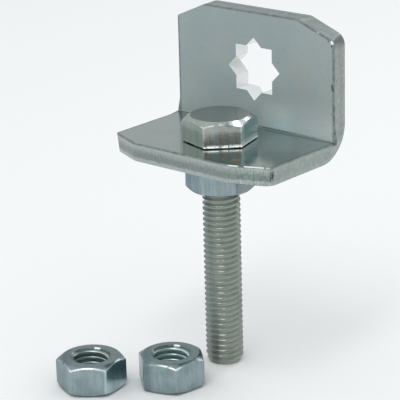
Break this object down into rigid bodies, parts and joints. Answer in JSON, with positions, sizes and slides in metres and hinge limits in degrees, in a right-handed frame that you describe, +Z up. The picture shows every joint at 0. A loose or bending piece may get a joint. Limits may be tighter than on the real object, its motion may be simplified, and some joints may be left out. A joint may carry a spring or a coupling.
{
  "type": "adjustable angle bracket",
  "caption": "Zinc-plated angle bracket with a star-shaped square-drive hole, clamped on a long threaded bolt by a nut, with adjusting nuts.",
  "frame": {"origin": "on the bolt's axis, level with the clamp nut's lower face, where the free threaded stud begins", "axes": "+Z up the bolt to its head, +X along the plate's width, +Y from the foot's front edge to the upright leg"},
  "size_m": [0.052, 0.0628, 0.0926],
  "materials": {
    "zinc_plate": "satin zinc plating",
    "zinc_bolt": "bright zinc plating",
    "zinc_nut": "bright zinc plating"
  },
  "bodies": {
    "bolt": {"hex_bolt": "zinc_bolt", "adjusting_nut_left": "zinc_nut", "adjusting_nut_right": "zinc_nut"},
    "clamp_nut": {"clamp_nut": "zinc_nut"},
    "angle_plate": {"angle_plate": "zinc_plate"}
  },
  "joints": [
    {"name": "clamp_nut_run", "type": "slide", "parent": "bolt", "child": "clamp_nut", "axis": [0, 0, -1], "range_m": [0, 0.039]},
    {"name": "plate_swivel", "type": "hinge", "parent": "clamp_nut", "child": "angle_plate", "pos_m": [0, 0, 0.0084], "axis": [0, 0, 1], "continuous": true}
  ]
}
